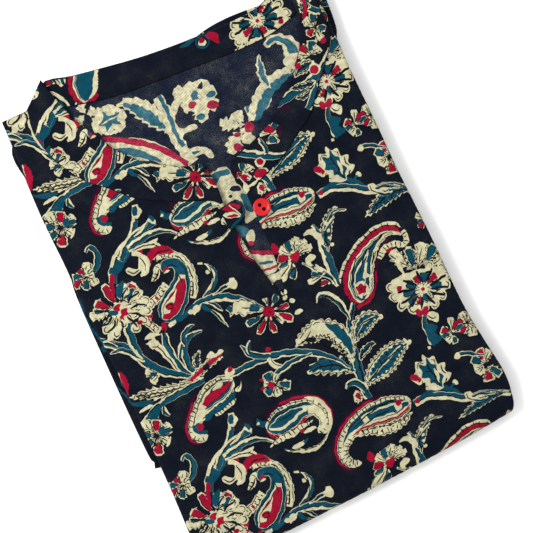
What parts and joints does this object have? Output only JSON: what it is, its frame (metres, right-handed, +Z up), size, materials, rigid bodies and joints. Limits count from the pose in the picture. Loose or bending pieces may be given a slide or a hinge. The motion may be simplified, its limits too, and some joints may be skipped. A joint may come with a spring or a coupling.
{
  "type": "folded kurta tunic",
  "caption": "Printed cotton kurta tunic folded flat, with a banded round neck, a front slit, a loop tab and a button.",
  "frame": {"origin": "middle of the bounding box at its bottom, where the bundle rests", "axes": "+Y towards the collar along the garment, +Z up from the table, +X to the right seen from above with the collar away"},
  "size_m": [0.2492, 0.3608, 0.018],
  "materials": {
    "printed_cotton": "matte block print in cream, teal and crimson on navy",
    "printed_cotton_wrong_side": "matte, the print showing faintly through",
    "red_plastic": "glossy"
  },
  "bodies": {
    "root": {"front_panel": "printed_cotton", "back_panel": "printed_cotton_wrong_side", "folded_layers": "printed_cotton", "sleeve_left": "printed_cotton", "sleeve_right": "printed_cotton", "neck_band_left": "printed_cotton", "neck_band_right": "printed_cotton", "neck_band_back": "printed_cotton", "button_loop": "printed_cotton", "button": "red_plastic"}
  },
  "joints": []
}
